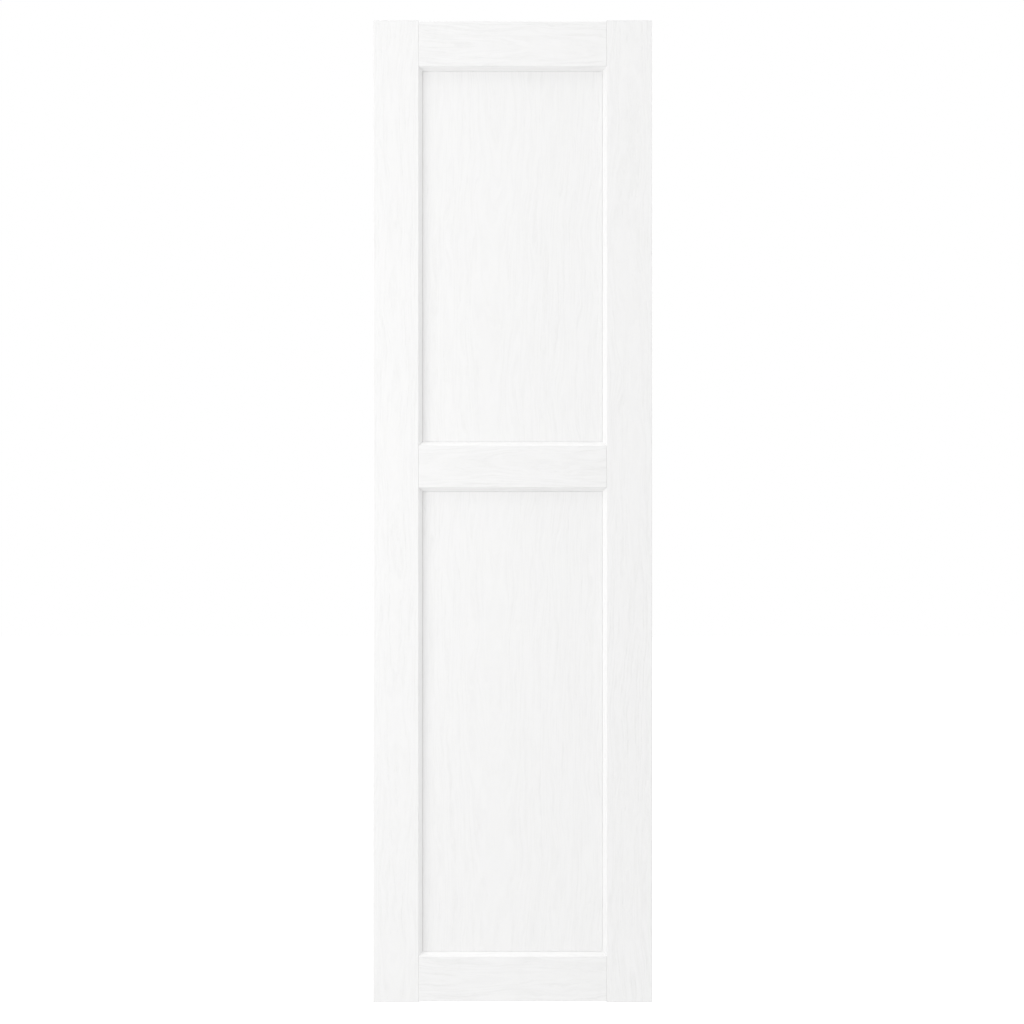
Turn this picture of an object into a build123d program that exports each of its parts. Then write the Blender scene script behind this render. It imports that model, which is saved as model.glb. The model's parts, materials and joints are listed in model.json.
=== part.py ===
"""Tall two-panel cabinet door with a bevelled frame: stiles, rails, flat panels and end bands.

Millimetres, +Z up, front face towards -Y. The origin is on the back face of the left stile,
on the axis of the middle hinge cup, which is also the middle of the door's height.
"""
import os

from build123d import *

# Door leaf
door_width = 397.0
door_height = 1397.0
door_thickness = 19.0

# Frame members
stile_width = 70.5
end_rail_width = 70.0
middle_rail_width = 71.0
middle_rail_height = 762.0  # lower end of the door to the middle of the rail
front_edge_radius = 1.5
back_edge_radius = 1.0

# Moulded edge round each opening
bevel_width = 6.2
bevel_depth = 9.0
lip_thickness = 1.0
groove_depth = 10.0

# Panels: a tongue all round, with room to swell at the bottom of the grooves, and a field that comes
# forward to the foot of the bevel, a hair's breadth clear of the frame
tongue_thickness = 6.0
panel_play = 1.0
field_reveal = 0.2

# Corner joints
tenon_play = 0.5
joint_ease = 0.6

# Bands on the cut ends of the stiles
band_thickness = 1.3

# Hinge cups in the left stile, each with two sockets beside it
hinge_count = 3
hinge_from_end = 98.5
cup_from_edge = 22.5
cup_radius = 17.5
cup_depth = 13.0
socket_radius = 4.0
socket_depth = 11.0
socket_pitch = 45.0
socket_offset = 9.5

# Places worked out from the sizes above
back = 0.0
front = back - door_thickness
bevel_foot = front + bevel_depth
groove_front = bevel_foot + lip_thickness
groove_back = groove_front + tongue_thickness
left_edge = -cup_from_edge
right_edge = left_edge + door_width
center_x = left_edge + door_width / 2
lower_end = -door_height / 2
upper_end = door_height / 2
lower_cut = lower_end + band_thickness
upper_cut = upper_end - band_thickness
stile_length = upper_cut - lower_cut
middle_rail_z = lower_end + middle_rail_height
rail_from_edge = stile_width - groove_depth + tenon_play
rail_length = door_width - 2 * rail_from_edge
hinge_pitch = (door_height - 2 * hinge_from_end) / (hinge_count - 1)
joint_line = stile_width - bevel_width + bevel_width * joint_ease / bevel_depth

# Section planes: x runs into the door from its edge, y from front to back
left_stile_plane = Plane((left_edge, back, lower_cut), x_dir=(1, 0, 0), z_dir=(0, 0, 1))
right_stile_plane = Plane((right_edge, back, upper_cut), x_dir=(-1, 0, 0), z_dir=(0, 0, -1))
top_rail_plane = Plane((left_edge + rail_from_edge, back, upper_cut), x_dir=(0, 0, -1), z_dir=(1, 0, 0))
middle_rail_plane = Plane(
    (left_edge + rail_from_edge, back, middle_rail_z), x_dir=(0, 0, -1), z_dir=(1, 0, 0)
)
bottom_rail_plane = Plane(
    (right_edge - rail_from_edge, back, lower_cut), x_dir=(0, 0, 1), z_dir=(-1, 0, 0)
)


def moulded_side(reach):
    """Points of a member's inner side, from the arris down to the back, for an edge at x = reach."""
    return [
        (reach - bevel_width, front),
        (reach, bevel_foot),
        (reach, groove_front),
        (reach - groove_depth, groove_front),
        (reach - groove_depth, groove_back),
        (reach, groove_back),
        (reach, back),
    ]


def round_outer_corners(section):
    """Round the two corners of a section at x = 0, the front one more than the back one."""
    front_corner, back_corner = section.vertices().group_by(Axis.X)[0].sort_by(Axis.Y)
    fillet(front_corner, front_edge_radius)
    fillet(back_corner, back_edge_radius)


def edge_member_section(plane, width):
    """Section of a stile or end rail: rounded outer edge at x = 0, moulded inner side at x = width."""
    with BuildSketch(plane) as section:
        with BuildLine():
            Polyline((0, front), *moulded_side(width), (0, back), close=True)
        make_face()
        round_outer_corners(section)
    return section.sketch


def panel_board(lower_rail_top, upper_rail_foot):
    """Panel for the opening between two rails: a tongue into the grooves on all sides, and its field."""
    middle_z = (lower_rail_top + upper_rail_foot) / 2
    back_plane = Plane((center_x, groove_back, middle_z), x_dir=(1, 0, 0), z_dir=(0, -1, 0))
    with BuildPart() as board:
        with BuildSketch(back_plane):
            opening = Rectangle(door_width - 2 * stile_width, upper_rail_foot - lower_rail_top)
            offset(opening, groove_depth - panel_play, kind=Kind.INTERSECTION)
        extrude(amount=tongue_thickness)
        with BuildSketch(back_plane.offset(tongue_thickness)):
            Rectangle(
                door_width - 2 * stile_width - 2 * field_reveal,
                upper_rail_foot - lower_rail_top - 2 * field_reveal,
            )
        extrude(amount=lip_thickness)
    return board.part


# Cope that fits each rail end over the moulded side of a stile, leaving the tenon in between.
# At the face the cope is eased, so the joint shows as a fine V.
with BuildPart() as cope:
    with BuildSketch(Plane((left_edge, back, lower_end), x_dir=(1, 0, 0), z_dir=(0, 0, 1))):
        with BuildLine():
            Polyline(
                (0, front),
                (joint_line + joint_ease, front),
                (joint_line, front + joint_ease),
                (stile_width, bevel_foot),
                (stile_width, groove_front),
                (0, groove_front),
                close=True,
            )
        make_face()
        with BuildLine():
            Polyline((0, groove_back), (stile_width, groove_back), (stile_width, back), (0, back), close=True)
        make_face()
        mirror(about=Plane((door_width / 2, 0, 0), x_dir=(0, 1, 0), z_dir=(1, 0, 0)))
    extrude(amount=door_height)

os.makedirs("parts", exist_ok=True)

# Stiles, full height less the end bands
with BuildPart() as left_stile:
    extrude(edge_member_section(left_stile_plane, stile_width), amount=stile_length)
    with Locations(Plane((0, back, 0), x_dir=(-1, 0, 0), z_dir=(0, 1, 0))):
        with GridLocations(0, hinge_pitch, 1, hinge_count):
            Hole(cup_radius, cup_depth)
            with Locations((-socket_offset, 0)):
                with GridLocations(0, socket_pitch, 1, 2):
                    Hole(socket_radius, socket_depth)
left_stile.part.label = "left_stile"
export_step(left_stile.part, "parts/left_stile.step")

with BuildPart() as right_stile:
    extrude(edge_member_section(right_stile_plane, stile_width), amount=stile_length)
right_stile.part.label = "right_stile"
export_step(right_stile.part, "parts/right_stile.step")

# Rails, coped over the stiles at both ends
with BuildPart() as top_rail:
    extrude(edge_member_section(top_rail_plane, end_rail_width), amount=rail_length)
    add(cope.part, mode=Mode.SUBTRACT)
top_rail.part.label = "top_rail"
export_step(top_rail.part, "parts/top_rail.step")

with BuildPart() as middle_rail:
    with BuildSketch(middle_rail_plane):
        with BuildLine():
            Polyline((0, front), *moulded_side(middle_rail_width / 2), (0, back))
            mirror(about=Plane.YZ)
        make_face()
    extrude(amount=rail_length)
    add(cope.part, mode=Mode.SUBTRACT)
middle_rail.part.label = "middle_rail"
export_step(middle_rail.part, "parts/middle_rail.step")

with BuildPart() as bottom_rail:
    extrude(edge_member_section(bottom_rail_plane, end_rail_width), amount=rail_length)
    add(cope.part, mode=Mode.SUBTRACT)
bottom_rail.part.label = "bottom_rail"
export_step(bottom_rail.part, "parts/bottom_rail.step")

# Panels
with BuildPart() as upper_panel:
    add(panel_board(middle_rail_z + middle_rail_width / 2, upper_cut - end_rail_width))
upper_panel.part.label = "upper_panel"
export_step(upper_panel.part, "parts/upper_panel.step")

with BuildPart() as lower_panel:
    add(panel_board(lower_cut + end_rail_width, middle_rail_z - middle_rail_width / 2))
lower_panel.part.label = "lower_panel"
export_step(lower_panel.part, "parts/lower_panel.step")

# Bands over the cut ends of the stiles, as wide as the stile's face
band_planes = {
    "left_stile_top_band": Plane((left_edge, back, upper_cut), x_dir=(1, 0, 0), z_dir=(0, 0, 1)),
    "left_stile_bottom_band": Plane((left_edge, back, lower_end), x_dir=(1, 0, 0), z_dir=(0, 0, 1)),
    "right_stile_top_band": Plane((right_edge, back, upper_end), x_dir=(-1, 0, 0), z_dir=(0, 0, -1)),
    "right_stile_bottom_band": Plane((right_edge, back, lower_cut), x_dir=(-1, 0, 0), z_dir=(0, 0, -1)),
}
for name, plane in band_planes.items():
    with BuildPart() as band:
        with BuildSketch(plane) as band_outline:
            with BuildLine():
                Polyline((0, front), (joint_line, front), (joint_line, back), (0, back), close=True)
            make_face()
            round_outer_corners(band_outline)
        extrude(amount=band_thickness)
    band.part.label = name
    export_step(band.part, f"parts/{name}.step")
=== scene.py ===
import json
import math

import bpy
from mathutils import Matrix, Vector


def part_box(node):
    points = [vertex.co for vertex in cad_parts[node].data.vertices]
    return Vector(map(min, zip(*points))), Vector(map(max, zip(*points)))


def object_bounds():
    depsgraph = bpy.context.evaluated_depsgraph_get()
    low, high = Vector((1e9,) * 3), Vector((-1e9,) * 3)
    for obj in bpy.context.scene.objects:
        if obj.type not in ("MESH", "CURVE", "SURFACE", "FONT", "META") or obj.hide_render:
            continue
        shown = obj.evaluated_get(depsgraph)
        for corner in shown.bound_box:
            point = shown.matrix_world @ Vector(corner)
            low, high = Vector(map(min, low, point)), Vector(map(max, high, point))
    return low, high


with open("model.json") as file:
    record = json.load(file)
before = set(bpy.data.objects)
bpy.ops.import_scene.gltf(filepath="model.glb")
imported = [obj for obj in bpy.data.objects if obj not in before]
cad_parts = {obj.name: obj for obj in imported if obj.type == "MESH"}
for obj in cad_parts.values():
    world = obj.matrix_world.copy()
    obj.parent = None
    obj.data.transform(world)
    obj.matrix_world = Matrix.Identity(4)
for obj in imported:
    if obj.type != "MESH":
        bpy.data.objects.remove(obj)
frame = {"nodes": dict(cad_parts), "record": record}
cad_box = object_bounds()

# Two-panel cabinet door wrapped in white foil with an embossed wood grain. Metres, front towards -Y.

MM = 1000  # millimetres in a metre

# Places read from the frame. The bands end where the bevels start, in line with the joints
DOOR_LOW, DOOR_HIGH = (Vector(corner) for corner in cad_box)
DOOR_CENTER = (DOOR_LOW + DOOR_HIGH) / 2
FRONT = DOOR_LOW.y
PANEL_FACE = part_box("upper_panel")[0][1]
SEAM_X = [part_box("left_stile_top_band")[1][0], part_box("right_stile_top_band")[0][0]]
LEFT_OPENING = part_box("left_stile")[1][0]
BEVEL_REACH = LEFT_OPENING - SEAM_X[0]

# Lowest and highest point of the joints at the bottom, middle and top rail
SEAM_SPANS = [
    (DOOR_LOW.z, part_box("bottom_rail")[1][2] - BEVEL_REACH),
    (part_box("middle_rail")[0][2] + BEVEL_REACH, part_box("middle_rail")[1][2] - BEVEL_REACH),
    (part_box("top_rail")[0][2] + BEVEL_REACH, DOOR_HIGH.z),
]

# Hinge bores in the back of the left stile: a cup at x = 0 at each pitch, and beside it a socket above and
# one below
MOUNTS = {mount["name"]: mount for mount in frame["record"]["mounts"]}
SOCKETS = MOUNTS["hinge_sockets_middle"]
BORED_BOARD = "left_stile"
HINGE_PITCH = MOUNTS["hinge_cups_outer"]["dims"]["spacing_y_mm"] / MM / 2
CUP_RADIUS = MOUNTS["hinge_cup_middle"]["dims"]["r_mm"] / MM
SOCKET_RADIUS = SOCKETS["dims"]["hole_r_mm"] / MM
SOCKET_UP = SOCKETS["dims"]["spacing_y_mm"] / MM / 2
SOCKET_X = SOCKETS["pos_m"][0]
BORE_ROOM = 0.0001  # beyond a bore's radius, so that its wall is taken in
BORE_REACH = 0.0155  # from the back, past the floors of the bores and short of the front
FOIL_THICKNESS = 0.00025

# Camera: the photograph looks straight at the door from a few metres
IMAGE_PIXELS = 1024
PIXEL_SIZE = 0.0014218  # metres of door a pixel, at the front face
DOOR_CENTER_PIXEL = (512.6, 511.35)
CAMERA_DISTANCE = 3.7
CAMERA_REACH = 60.0
SENSOR = 36.0

# Light: even room light, three soft windows for the front and one for the back. Place from the door's
# middle, width of the window and power in watts
ROOM_LIGHT = 0.830
WINDOWS = {
    "left_window": ((-1.37, -0.83, 0.12), 0.75, 6.7),
    "front_window": ((0.0, -1.8, 1.6), 1.2, 2.8),
    "roof_window": ((0.0, -0.85, 3.1), 1.6, 13.1),
    "rear_window": ((1.3, 0.9, 0.6), 0.9, 9.0),
}

# Floor: the door hangs above it. The glow lifts its colour to white where the camera sees it
FLOOR_DROP = 0.2
FLOOR_HALF_WIDTH = 15.0
FLOOR_TONE = 0.8
FLOOR_ROUGHNESS = 0.9
FLOOR_GLOW = 0.39

# Foil. The depth of its pores, in mm, and the shades are those of a grain of strength 1
FOIL_WHITE = (0.9205, 0.9195, 0.917)
PORE_WHITE = (0.80, 0.799, 0.793)
PORE_SHADE = 0.16
GRAIN_SHADE = 0.09
PORE_DEPTH = 0.08
FOIL_ROUGHNESS = 0.56
PORE_ROUGHNESS = 0.10

# Soft edges of the wrap. A few pieces have bores, or copes beside the door's rounded edge, whose faces are
# too fine for them
FRAME_SOFTNESS = 0.0003
PANEL_SOFTNESS = 0.0001
UNSOFTENED = ("left_stile", "top_rail", "bottom_rail")
SOFT_FROM_ANGLE = math.radians(28)
JOINING_REACH = 0.000002

# Shadow lines: at the bottom of the V joints, and in the gap between the left stile and the panels
SHADOW = (0.38, 0.375, 0.365)
SEAM_WIDTH = 0.00022
SEAM_SHADE = 0.6
V_DEPTH = 0.0006
GAP_WIDTH = 0.0005
GAP_SHADE = 0.85

# Run of the foil over a board, in mm: how near to the back its faces count as the back, and how far away
# in the wood the back's grain is
BACK_LAYER = 0.2
BACK_SHIFT = 400.0

# Growth rings, in mm: how far the heart swings along the board, and how the rings waver and vary in width.
# Within a ring, which goes from 0 to 1, the open wood sets in quickly and fades out
HEART_SWING = 44.0
HEART_SWING_LENGTH = 260.0
RING_WAVE = 18.0
RING_WAVE_WIDTH = 26.0
RING_WAVE_LENGTH = 110.0
RING_SPREAD = 14.0
RING_SPREAD_WIDTH = 15.0
RING_RISE = 0.08
RING_FALL_START = 0.18
RING_FALL_END = 0.62
VIGOUR_LENGTH = 120.0
POOR_YEAR = 0.36
RICH_YEAR = 0.64
LEAST_VIGOUR = 0.1

# Places in the noise, so that no two effects and no two years share one
SWING_ROW = 3.7
SPREAD_ROW = 5.3
YEAR_STEP = 1.7

# Pores and tone: how much patches, early wood, fine pores, fibres and clouds count
PATCH_WEIGHT = 0.7
SPARSE_SHARE = 0.35  # taken off the early wood's share, so that late wood has few pores
EARLY_WEIGHT = 0.35
FINE_PORE_WEIGHT = 0.7
FIBRE_WEIGHT = 0.22
CLOUD_WEIGHT = 0.3
CLOUD_START = 0.7
LINE_CONTRAST_ALONG = 3.0  # where the face runs along the rings
LINE_CONTRAST_ACROSS = 12.5  # where it cuts straight across them

# Raw fibreboard in the bores
RAW_BOARD = (0.36, 0.235, 0.135)
RAW_DARK_SHARE = 0.72
RAW_FIBRE_SCALE = 900.0
RAW_FIBRE_RELIEF = 0.35
RAW_ROUGHNESS = 0.92

# Edging on the stile ends
EDGING_DARK_SHARE = 0.985
EDGING_CLOUD_SCALE = 40.0
EDGING_SAND_SCALE = 2600.0
EDGING_SAND_RELIEF = 0.00002
EDGING_ROUGHNESS = 0.4
SAND_ROUGHNESS = 0.1

# Each board's own stretch of wood: grain along X or not, heart of the arches, height of the cut over the
# heart, taper, ring width, seed, strength of the grain
BOARDS = {
    "left_stile": (False, -6.0, 12.0, -0.018, 5.4, 1.0, 0.9),
    "right_stile": (False, 8.0, 12.0, 0.018, 5.4, 7.0, 0.95),
    "top_rail": (True, 4.0, 14.0, 0.045, 5.2, 13.0, 1.1),
    "middle_rail": (True, -5.0, 18.0, -0.050, 5.0, 19.0, 1.15),
    "bottom_rail": (True, 0.0, 15.0, 0.040, 5.6, 29.0, 1.15),
    "upper_panel": (False, -27.0, 20.0, -0.045, 8.0, 37.0, 0.8),
    "lower_panel": (False, -27.0, 24.0, -0.045, 7.5, 43.0, 0.8),
}


# Node helpers

def connect(tree, value, socket):
    """Link an output to a socket, or set the socket to a plain value."""
    if isinstance(value, bpy.types.NodeSocket):
        tree.links.new(value, socket)
    else:
        socket.default_value = value


def source_of(socket):
    """The output that a socket is linked to."""
    return socket.links[0].from_socket


def calculate(tree, operation, *values):
    """Math node."""
    node = tree.nodes.new("ShaderNodeMath")
    node.operation = operation
    for value, socket in zip(values, node.inputs):
        connect(tree, value, socket)
    return node.outputs[0]


def largest(tree, values):
    """Largest of several values."""
    total = values[0]
    for value in values[1:]:
        total = calculate(tree, "MAXIMUM", total, value)
    return total


def ramp(tree, value, low, high, start=0.0, end=1.0):
    """Smooth step of a value, from start where it is low to end where it is high."""
    node = tree.nodes.new("ShaderNodeMapRange")
    node.interpolation_type = "SMOOTHSTEP"
    settings = {"Value": value, "From Min": low, "From Max": high, "To Min": start, "To Max": end}
    for name, setting in settings.items():
        connect(tree, setting, node.inputs[name])
    return node.outputs["Result"]


def object_position(tree):
    """Place on the door, in metres."""
    return tree.nodes.new("ShaderNodeTexCoord").outputs["Object"]


def vector_of(tree, x, y, z):
    node = tree.nodes.new("ShaderNodeCombineXYZ")
    for value, socket in zip((x, y, z), node.inputs):
        connect(tree, value, socket)
    return node.outputs[0]


def parts_of(tree, vector):
    node = tree.nodes.new("ShaderNodeSeparateXYZ")
    connect(tree, vector, node.inputs[0])
    return node.outputs


def noise(tree, vector, scale=1.0, detail=2.0, roughness=0.5):
    node = tree.nodes.new("ShaderNodeTexNoise")
    connect(tree, vector, node.inputs["Vector"])
    for name, value in (("Scale", scale), ("Detail", detail), ("Roughness", roughness)):
        connect(tree, value, node.inputs[name])
    return node.outputs["Fac"]


def mix_color(tree, factor, first, second):
    """Mix of two colours, each an output or three plain values."""
    node = tree.nodes.new("ShaderNodeMix")
    node.data_type = "RGBA"
    connect(tree, factor, node.inputs[0])
    for value, socket in ((first, node.inputs[6]), (second, node.inputs[7])):
        connect(tree, value if isinstance(value, bpy.types.NodeSocket) else (*value, 1.0), socket)
    return node.outputs[2]


def new_group(name, inputs, outputs):
    """Shader node group. Each input is a number with its default, or a vector where the default is None.
    The outputs are numbers."""
    group = bpy.data.node_groups.new(name, "ShaderNodeTree")
    for socket_name, default in inputs.items():
        kind = "NodeSocketVector" if default is None else "NodeSocketFloat"
        socket = group.interface.new_socket(socket_name, in_out="INPUT", socket_type=kind)
        if default is not None:
            socket.default_value = default
    for socket_name in outputs:
        group.interface.new_socket(socket_name, in_out="OUTPUT", socket_type="NodeSocketFloat")
    given = group.nodes.new("NodeGroupInput").outputs
    result = group.nodes.new("NodeGroupOutput").inputs
    return group, given, result


def put_out(group, result, **values):
    """Link a group's outputs by name."""
    for name, value in values.items():
        connect(group, value, result[name])


def place_group(tree, group, **values):
    """Group node with its inputs set by name."""
    node = tree.nodes.new("ShaderNodeGroup")
    node.node_tree = group
    for name, value in values.items():
        connect(tree, value, node.inputs[name])
    return node.outputs


# Shared effects

def board_coordinates():
    """How foil runs over a board: across the face and on round its edges, and along the grain, in mm."""
    group, given, result = new_group(
        "board_coordinates", {"Position": None, "Thickness": 19.0}, ("Across", "Along")
    )
    scaled = group.nodes.new("ShaderNodeVectorMath")
    scaled.operation = "SCALE"
    connect(group, given["Position"], scaled.inputs[0])
    scaled.inputs["Scale"].default_value = MM
    x, depth, along = parts_of(group, scaled.outputs[0])
    round_edge = calculate(group, "MULTIPLY_ADD", calculate(group, "SIGN", x), depth, x)
    back_from = calculate(group, "SUBTRACT", given["Thickness"], BACK_LAYER)
    on_back = calculate(group, "GREATER_THAN", depth, back_from)
    across = group.nodes.new("ShaderNodeMix")
    connect(group, on_back, across.inputs[0])
    connect(group, round_edge, across.inputs[2])
    connect(group, calculate(group, "ADD", x, BACK_SHIFT), across.inputs[3])
    put_out(group, result, Across=across.outputs[0], Along=along)
    return group


def growth_rings():
    """Flat-sawn growth rings, uneven in width and strength, as arches where the board's face cuts cones of
    rings. Early is 1 in the most open-pored wood, Layer is the way out through the rings in mm, and Slope is
    0 where the face runs along the rings and 1 where it cuts straight across."""
    group, given, result = new_group(
        "growth_rings",
        {"Across": 0.0, "Along": 0.0, "Heart": 0.0, "Height": 20.0, "Taper": 0.04, "Ring": 6.0, "Seed": 0.0},
        ("Early", "Layer", "Slope"),
    )
    along, seed = given["Along"], given["Seed"]

    def divide(value, size):
        return calculate(group, "DIVIDE", value, size)

    def waver(x, y, z, detail=1.0):
        return noise(group, vector_of(group, x, y, z), detail=detail)

    across = calculate(group, "SUBTRACT", given["Across"], given["Heart"])
    swing = waver(seed, SWING_ROW, divide(along, HEART_SWING_LENGTH))
    heart_swing = calculate(group, "MULTIPLY_ADD", swing, HEART_SWING, -HEART_SWING / 2)
    from_heart = calculate(group, "ADD", across, heart_swing)
    height = calculate(group, "MULTIPLY_ADD", along, given["Taper"], given["Height"])
    height_squared = calculate(group, "MULTIPLY", height, height)
    radius_squared = calculate(group, "MULTIPLY_ADD", from_heart, from_heart, height_squared)
    radius = calculate(group, "SQRT", radius_squared)

    wave = waver(divide(given["Across"], RING_WAVE_WIDTH), seed, divide(along, RING_WAVE_LENGTH), detail=3.0)
    wavy = calculate(group, "MULTIPLY_ADD", wave, RING_WAVE, radius)
    spread = waver(divide(radius, RING_SPREAD_WIDTH), seed, SPREAD_ROW)
    layer = calculate(group, "MULTIPLY_ADD", spread, RING_SPREAD, wavy)
    turns = divide(layer, given["Ring"])
    phase = calculate(group, "FRACT", turns)
    rise = ramp(group, phase, 0.0, RING_RISE)
    fall = ramp(group, phase, RING_FALL_START, RING_FALL_END, start=1.0, end=0.0)

    year = calculate(group, "MULTIPLY", calculate(group, "FLOOR", turns), YEAR_STEP)
    weather = waver(year, seed, divide(along, VIGOUR_LENGTH))
    vigour = ramp(group, weather, POOR_YEAR, RICH_YEAR, start=LEAST_VIGOUR, end=1.0)
    early = calculate(group, "MULTIPLY", calculate(group, "MULTIPLY", rise, fall), vigour)
    slope = divide(calculate(group, "ABSOLUTE", from_heart), radius)
    put_out(group, result, Early=early, Layer=layer, Slope=slope)
    return group


def embossed_pores():
    """Short pores pressed along the grain, dense in the early wood, over fine fibres. Height is in mm."""
    group, given, result = new_group(
        "embossed_pores",
        {"Across": 0.0, "Along": 0.0, "Early": 0.0, "Layer": 0.0, "Slope": 1.0, "Seed": 0.0, "Depth": 0.10},
        ("Pores", "Tone", "Height"),
    )
    early = given["Early"]

    def streaks(width, length, detail, shift, across="Across"):
        """Noise drawn out along the grain, with its width and length in mm."""
        place = vector_of(
            group,
            calculate(group, "DIVIDE", given[across], width),
            calculate(group, "ADD", given["Seed"], shift),
            calculate(group, "DIVIDE", given["Along"], length),
        )
        return noise(group, place, detail=detail)

    coarse = streaks(width=1.5, length=17.0, detail=2.0, shift=0.0)
    fine = streaks(width=0.7, length=11.0, detail=1.0, shift=11.3)
    fibre = streaks(width=0.34, length=30.0, detail=2.0, shift=23.9)
    patch = streaks(width=6.5, length=42.0, detail=3.0, shift=51.7)
    cloud = streaks(width=42.0, length=210.0, detail=2.0, shift=37.1)
    line = streaks(width=1.6, length=52.0, detail=2.0, shift=71.3, across="Layer")
    early_density = calculate(group, "SUBTRACT", early, SPARSE_SHARE)
    density = calculate(group, "MULTIPLY_ADD", patch, PATCH_WEIGHT, early_density)

    def pores_in(streak, sparse, dense, rim):
        """Pores where a streak passes a level, which sinks from sparse to dense with the density."""
        level = ramp(group, density, 0.0, 1.0, start=sparse, end=dense)
        return ramp(group, calculate(group, "SUBTRACT", streak, level), 0.0, rim)

    coarse_pores = pores_in(coarse, sparse=0.66, dense=0.50, rim=0.07)
    fine_pores = pores_in(fine, sparse=0.64, dense=0.54, rim=0.08)
    weak_pores = calculate(group, "MULTIPLY", fine_pores, FINE_PORE_WEIGHT)
    pores = calculate(group, "MAXIMUM", coarse_pores, weak_pores)

    contrast_gain = LINE_CONTRAST_ACROSS - LINE_CONTRAST_ALONG
    contrast = calculate(group, "MULTIPLY_ADD", given["Slope"], contrast_gain, LINE_CONTRAST_ALONG)
    lines = calculate(group, "MULTIPLY", calculate(group, "SUBTRACT", line, 0.5), contrast)
    band = calculate(group, "MULTIPLY_ADD", early, EARLY_WEIGHT, lines)
    clouds = calculate(group, "MULTIPLY_ADD", cloud, CLOUD_WEIGHT, CLOUD_START)
    tone = calculate(group, "ADD", band, clouds)

    sunk = calculate(group, "MULTIPLY", calculate(group, "MULTIPLY_ADD", early, EARLY_WEIGHT, pores), -1.0)
    relief = calculate(group, "MULTIPLY_ADD", fibre, FIBRE_WEIGHT, sunk)
    height = calculate(group, "MULTIPLY", relief, given["Depth"])
    put_out(group, result, Pores=pores, Tone=tone, Height=height)
    return group


def near_line():
    """1 on a line, falling softly to 0 at its width to either side."""
    group, given, result = new_group("near_line", {"Distance": 0.0, "Width": SEAM_WIDTH}, ("Mask",))
    share = calculate(group, "DIVIDE", calculate(group, "ABSOLUTE", given["Distance"]), given["Width"])
    put_out(group, result, Mask=ramp(group, share, 0.0, 1.0, start=1.0, end=0.0))
    return group


BOARD_COORDINATES = board_coordinates()
GROWTH_RINGS = growth_rings()
EMBOSSED_PORES = embossed_pores()
NEAR_LINE = near_line()


# Materials

def new_material(name):
    material = bpy.data.materials.new(name)
    material.use_nodes = True
    tree = material.node_tree
    shader = tree.nodes["Principled BSDF"]
    return material, tree, shader


def emboss(tree, shader, height, unit):
    """Relief from a height that is given in a unit of so many metres."""
    bump = tree.nodes.new("ShaderNodeBump")
    bump.inputs["Distance"].default_value = unit
    connect(tree, height, bump.inputs["Height"])
    connect(tree, bump.outputs["Normal"], shader.inputs["Normal"])


def line_at(tree, coordinate, place, width):
    """1 where a coordinate is at a place, falling to 0 at the width to either side."""
    distance = calculate(tree, "SUBTRACT", coordinate, place)
    return place_group(tree, NEAR_LINE, Distance=distance, Width=width)["Mask"]


def seam_lines(tree, position):
    """Shadow hairline at the bottom of the V where a rail meets a stile."""
    x, y, z = parts_of(tree, position)
    beside = [line_at(tree, x, seam, SEAM_WIDTH) for seam in SEAM_X]
    in_v = line_at(tree, y, FRONT + V_DEPTH, SEAM_WIDTH)
    along_rails = []
    for bottom, top in SEAM_SPANS:
        from_middle = calculate(tree, "ABSOLUTE", calculate(tree, "SUBTRACT", z, (bottom + top) / 2))
        along_rails.append(calculate(tree, "LESS_THAN", from_middle, (top - bottom) / 2))
    in_joint = calculate(tree, "MULTIPLY", in_v, largest(tree, along_rails))
    line = calculate(tree, "MULTIPLY", largest(tree, beside), in_joint)
    return calculate(tree, "MULTIPLY", line, SEAM_SHADE)


def gap_line(tree, position):
    """Shadow in the gap between the left stile and the panels, at the foot of the bevel."""
    x, y, _ = parts_of(tree, position)
    beside = line_at(tree, x, LEFT_OPENING, GAP_WIDTH)
    near_face = line_at(tree, y, PANEL_FACE, 2 * GAP_WIDTH)
    return calculate(tree, "MULTIPLY", calculate(tree, "MULTIPLY", beside, near_face), GAP_SHADE)


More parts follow.
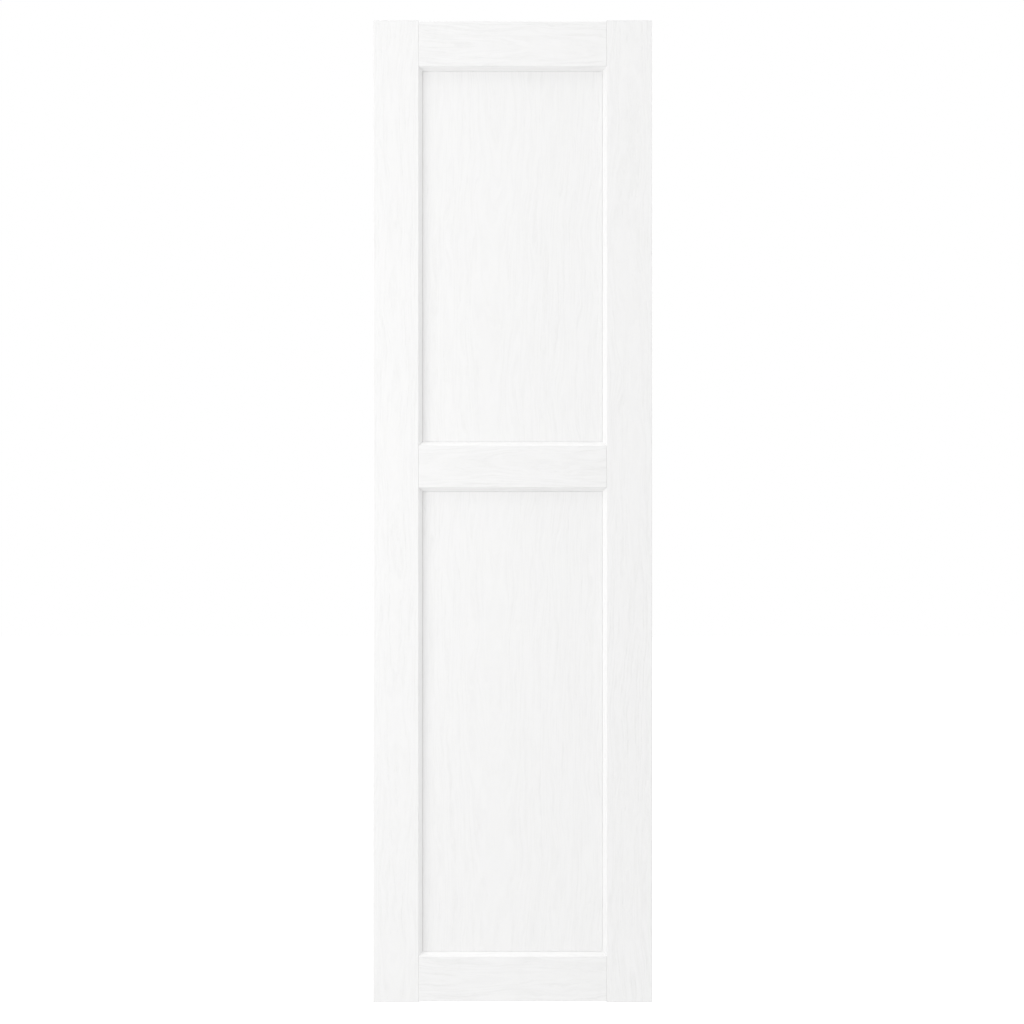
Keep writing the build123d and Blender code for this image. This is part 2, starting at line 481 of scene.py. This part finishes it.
def foil(board, along_x, heart, height, taper, ring, seed, strength):
    """White foil with its grain along a board, which runs along X or Z."""
    material, tree, shader = new_material("foil_" + board)
    position = object_position(tree)
    low, high = (Vector(corner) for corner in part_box(board))
    center = (low + high) / 2
    centered = tree.nodes.new("ShaderNodeMapping")
    connect(tree, position, centered.inputs["Vector"])
    if along_x:
        centered.inputs["Rotation"].default_value = (0, -math.pi / 2, 0)
        centered.inputs["Location"].default_value = (center.z, -low.y, -center.x)
    else:
        centered.inputs["Location"].default_value = (-center.x, -low.y, -center.z)

    thickness = (high.y - low.y) * MM
    run = place_group(tree, BOARD_COORDINATES, Position=centered.outputs[0], Thickness=thickness)
    rings = place_group(
        tree, GROWTH_RINGS,
        Across=run["Across"], Along=run["Along"], Heart=heart, Height=height, Taper=taper,
        Ring=ring, Seed=seed,
    )
    grain = place_group(
        tree, EMBOSSED_PORES,
        Across=run["Across"], Along=run["Along"], Early=rings["Early"], Layer=rings["Layer"],
        Slope=rings["Slope"], Seed=seed, Depth=PORE_DEPTH * strength,
    )

    pore_shade = calculate(tree, "MULTIPLY", grain["Pores"], PORE_SHADE * strength)
    shade = calculate(tree, "MULTIPLY_ADD", grain["Tone"], GRAIN_SHADE * strength, pore_shade)
    grained = mix_color(tree, calculate(tree, "MAXIMUM", shade, 0.0), FOIL_WHITE, PORE_WHITE)
    shadow = calculate(tree, "MAXIMUM", seam_lines(tree, position), gap_line(tree, position))
    connect(tree, mix_color(tree, shadow, grained, SHADOW), shader.inputs["Base Color"])
    roughness = calculate(tree, "MULTIPLY_ADD", grain["Pores"], PORE_ROUGHNESS, FOIL_ROUGHNESS)
    connect(tree, roughness, shader.inputs["Roughness"])
    emboss(tree, shader, grain["Height"], 1 / MM)
    return material


def show_raw_board_in_bores(material):
    """Inside the hinge cups and sockets the foil ends and the raw fibreboard shows."""
    tree = material.node_tree
    shader = tree.nodes["Principled BSDF"]
    position = object_position(tree)
    x, y, z = parts_of(tree, position)
    cup_z = calculate(tree, "SNAP", calculate(tree, "ADD", z, HINGE_PITCH / 2), HINGE_PITCH)
    from_cup = calculate(tree, "ABSOLUTE", calculate(tree, "SUBTRACT", z, cup_z))

    def within(center_x, center_up, radius):
        """1 in a round bore at a place beside and above or below the middle of a cup."""
        across = calculate(tree, "SUBTRACT", x, center_x)
        up = calculate(tree, "SUBTRACT", from_cup, center_up)
        up_squared = calculate(tree, "MULTIPLY", up, up)
        distance_squared = calculate(tree, "MULTIPLY_ADD", across, across, up_squared)
        return calculate(tree, "LESS_THAN", distance_squared, (radius + BORE_ROOM) ** 2)

    cup = within(0.0, 0.0, CUP_RADIUS)
    sockets = within(SOCKET_X, SOCKET_UP, SOCKET_RADIUS)
    bored = calculate(tree, "MAXIMUM", cup, sockets)
    below_foil = calculate(tree, "LESS_THAN", y, -FOIL_THICKNESS)
    behind_front = calculate(tree, "GREATER_THAN", y, -BORE_REACH)
    raw = calculate(tree, "MULTIPLY", calculate(tree, "MULTIPLY", bored, below_foil), behind_front)

    fibres = noise(tree, position, scale=RAW_FIBRE_SCALE, detail=4.0, roughness=0.65)
    dark_board = tuple(channel * RAW_DARK_SHARE for channel in RAW_BOARD)
    board_color = mix_color(tree, ramp(tree, fibres, 0.35, 0.65), dark_board, RAW_BOARD)
    color = mix_color(tree, raw, source_of(shader.inputs["Base Color"]), board_color)
    connect(tree, color, shader.inputs["Base Color"])
    raw_roughness = calculate(tree, "MULTIPLY", raw, RAW_ROUGHNESS)
    roughness = calculate(tree, "MAXIMUM", source_of(shader.inputs["Roughness"]), raw_roughness)
    connect(tree, roughness, shader.inputs["Roughness"])
    bump = source_of(shader.inputs["Normal"]).node
    fibre_height = calculate(tree, "MULTIPLY", fibres, calculate(tree, "MULTIPLY", raw, RAW_FIBRE_RELIEF))
    height = calculate(tree, "ADD", source_of(bump.inputs["Height"]), fibre_height)
    connect(tree, height, bump.inputs["Height"])


def edge_band_material():
    """Plain white edging, smoother than the foil, with a fine sand texture."""
    material, tree, shader = new_material("white_edging")
    position = object_position(tree)
    sand = noise(tree, position, scale=EDGING_SAND_SCALE)
    cloud = noise(tree, position, scale=EDGING_CLOUD_SCALE)
    darker_white = tuple(channel * EDGING_DARK_SHARE for channel in FOIL_WHITE)
    color = mix_color(tree, ramp(tree, cloud, 0.3, 0.7), FOIL_WHITE, darker_white)
    connect(tree, color, shader.inputs["Base Color"])
    roughness = calculate(tree, "MULTIPLY_ADD", sand, SAND_ROUGHNESS, EDGING_ROUGHNESS)
    connect(tree, roughness, shader.inputs["Roughness"])
    emboss(tree, shader, sand, EDGING_SAND_RELIEF)
    return material


# Door

def soften(piece, width):
    """Round a piece's edges as the wrap does."""
    weld = piece.modifiers.new("joined_faces", "WELD")
    weld.merge_threshold = JOINING_REACH
    soft = piece.modifiers.new("soft_edges", "BEVEL")
    soft.limit_method = "ANGLE"
    soft.angle_limit = SOFT_FROM_ANGLE
    soft.width = width
    soft.segments = 2
    soft.use_clamp_overlap = False


def dress(node_name, material, softness):
    """Give a piece its finish and, where its faces leave room, its soft edges."""
    piece = frame["nodes"][node_name]
    piece.data.materials.clear()
    piece.data.materials.append(material)
    if node_name not in UNSOFTENED:
        soften(piece, softness)


for board, grain in BOARDS.items():
    finish = foil(board, *grain)
    if board == BORED_BOARD:
        show_raw_board_in_bores(finish)
    dress(board, finish, PANEL_SOFTNESS if board.endswith("panel") else FRAME_SOFTNESS)

EDGING = edge_band_material()
for node_name in frame["nodes"]:
    if node_name.endswith("_band"):
        dress(node_name, EDGING, FRAME_SOFTNESS)


# Room

def seen_directly(tree):
    """1 for what the camera, a reflection or a clear piece shows, 0 for what only lights the door."""
    path = tree.nodes.new("ShaderNodeLightPath").outputs
    rays = [path[name] for name in ("Is Camera Ray", "Is Glossy Ray", "Is Transmission Ray")]
    return largest(tree, rays)


def light_room():
    """Even white room light, against a background that shows as plain white."""
    world = bpy.data.worlds.new("white_room")
    bpy.context.scene.world = world
    world.use_nodes = True
    tree = world.node_tree
    background = tree.nodes["Background"]
    background.inputs["Color"].default_value = (1, 1, 1, 1)
    strength = calculate(tree, "MAXIMUM", seen_directly(tree), ROOM_LIGHT)
    connect(tree, strength, background.inputs["Strength"])


def hang_window(name, place, width, power):
    """Soft round lamp that faces the door and doesn't show itself."""
    data = bpy.data.lights.new(name, "AREA")
    data.shape = "DISK"
    data.size = width
    data.energy = power
    lamp = bpy.data.objects.new(name, data)
    lamp.location = DOOR_CENTER + Vector(place)
    lamp.rotation_euler = (-Vector(place)).to_track_quat("-Z", "Y").to_euler()
    lamp.visible_camera = False
    bpy.context.scene.collection.objects.link(lamp)


def lay_floor():
    """Pale floor below the door. It shows as white, apart from the door's shadow."""
    half = FLOOR_HALF_WIDTH
    z = DOOR_LOW.z - FLOOR_DROP
    corners = [(-half, -half, z), (half, -half, z), (half, half, z), (-half, half, z)]
    mesh = bpy.data.meshes.new("floor")
    mesh.from_pydata(corners, [], [(0, 1, 2, 3)])
    floor = bpy.data.objects.new("floor", mesh)
    bpy.context.scene.collection.objects.link(floor)
    material, tree, shader = new_material("pale_floor")
    shader.inputs["Base Color"].default_value = (FLOOR_TONE, FLOOR_TONE, FLOOR_TONE, 1)
    shader.inputs["Roughness"].default_value = FLOOR_ROUGHNESS
    shader.inputs["Specular IOR Level"].default_value = 0.0
    shader.inputs["Emission Color"].default_value = (1, 1, 1, 1)
    glow = calculate(tree, "MULTIPLY", seen_directly(tree), FLOOR_GLOW)
    connect(tree, glow, shader.inputs["Emission Strength"])
    mesh.materials.append(material)


def place_camera():
    data = bpy.data.cameras.new("camera")
    data.sensor_width = SENSOR
    data.lens = SENSOR * CAMERA_DISTANCE / (IMAGE_PIXELS * PIXEL_SIZE)
    data.clip_end = CAMERA_REACH
    camera = bpy.data.objects.new("camera", data)
    middle = IMAGE_PIXELS / 2
    camera.location = (
        DOOR_CENTER.x - (DOOR_CENTER_PIXEL[0] - middle) * PIXEL_SIZE,
        FRONT - CAMERA_DISTANCE,
        DOOR_CENTER.z + (DOOR_CENTER_PIXEL[1] - middle) * PIXEL_SIZE,
    )
    camera.rotation_euler = (math.pi / 2, 0, 0)
    bpy.context.scene.collection.objects.link(camera)
    bpy.context.scene.camera = camera


light_room()
for window_name, (place, width, power) in WINDOWS.items():
    hang_window(window_name, place, width, power)
lay_floor()
place_camera()
bpy.context.scene.view_settings.view_transform = "Standard"
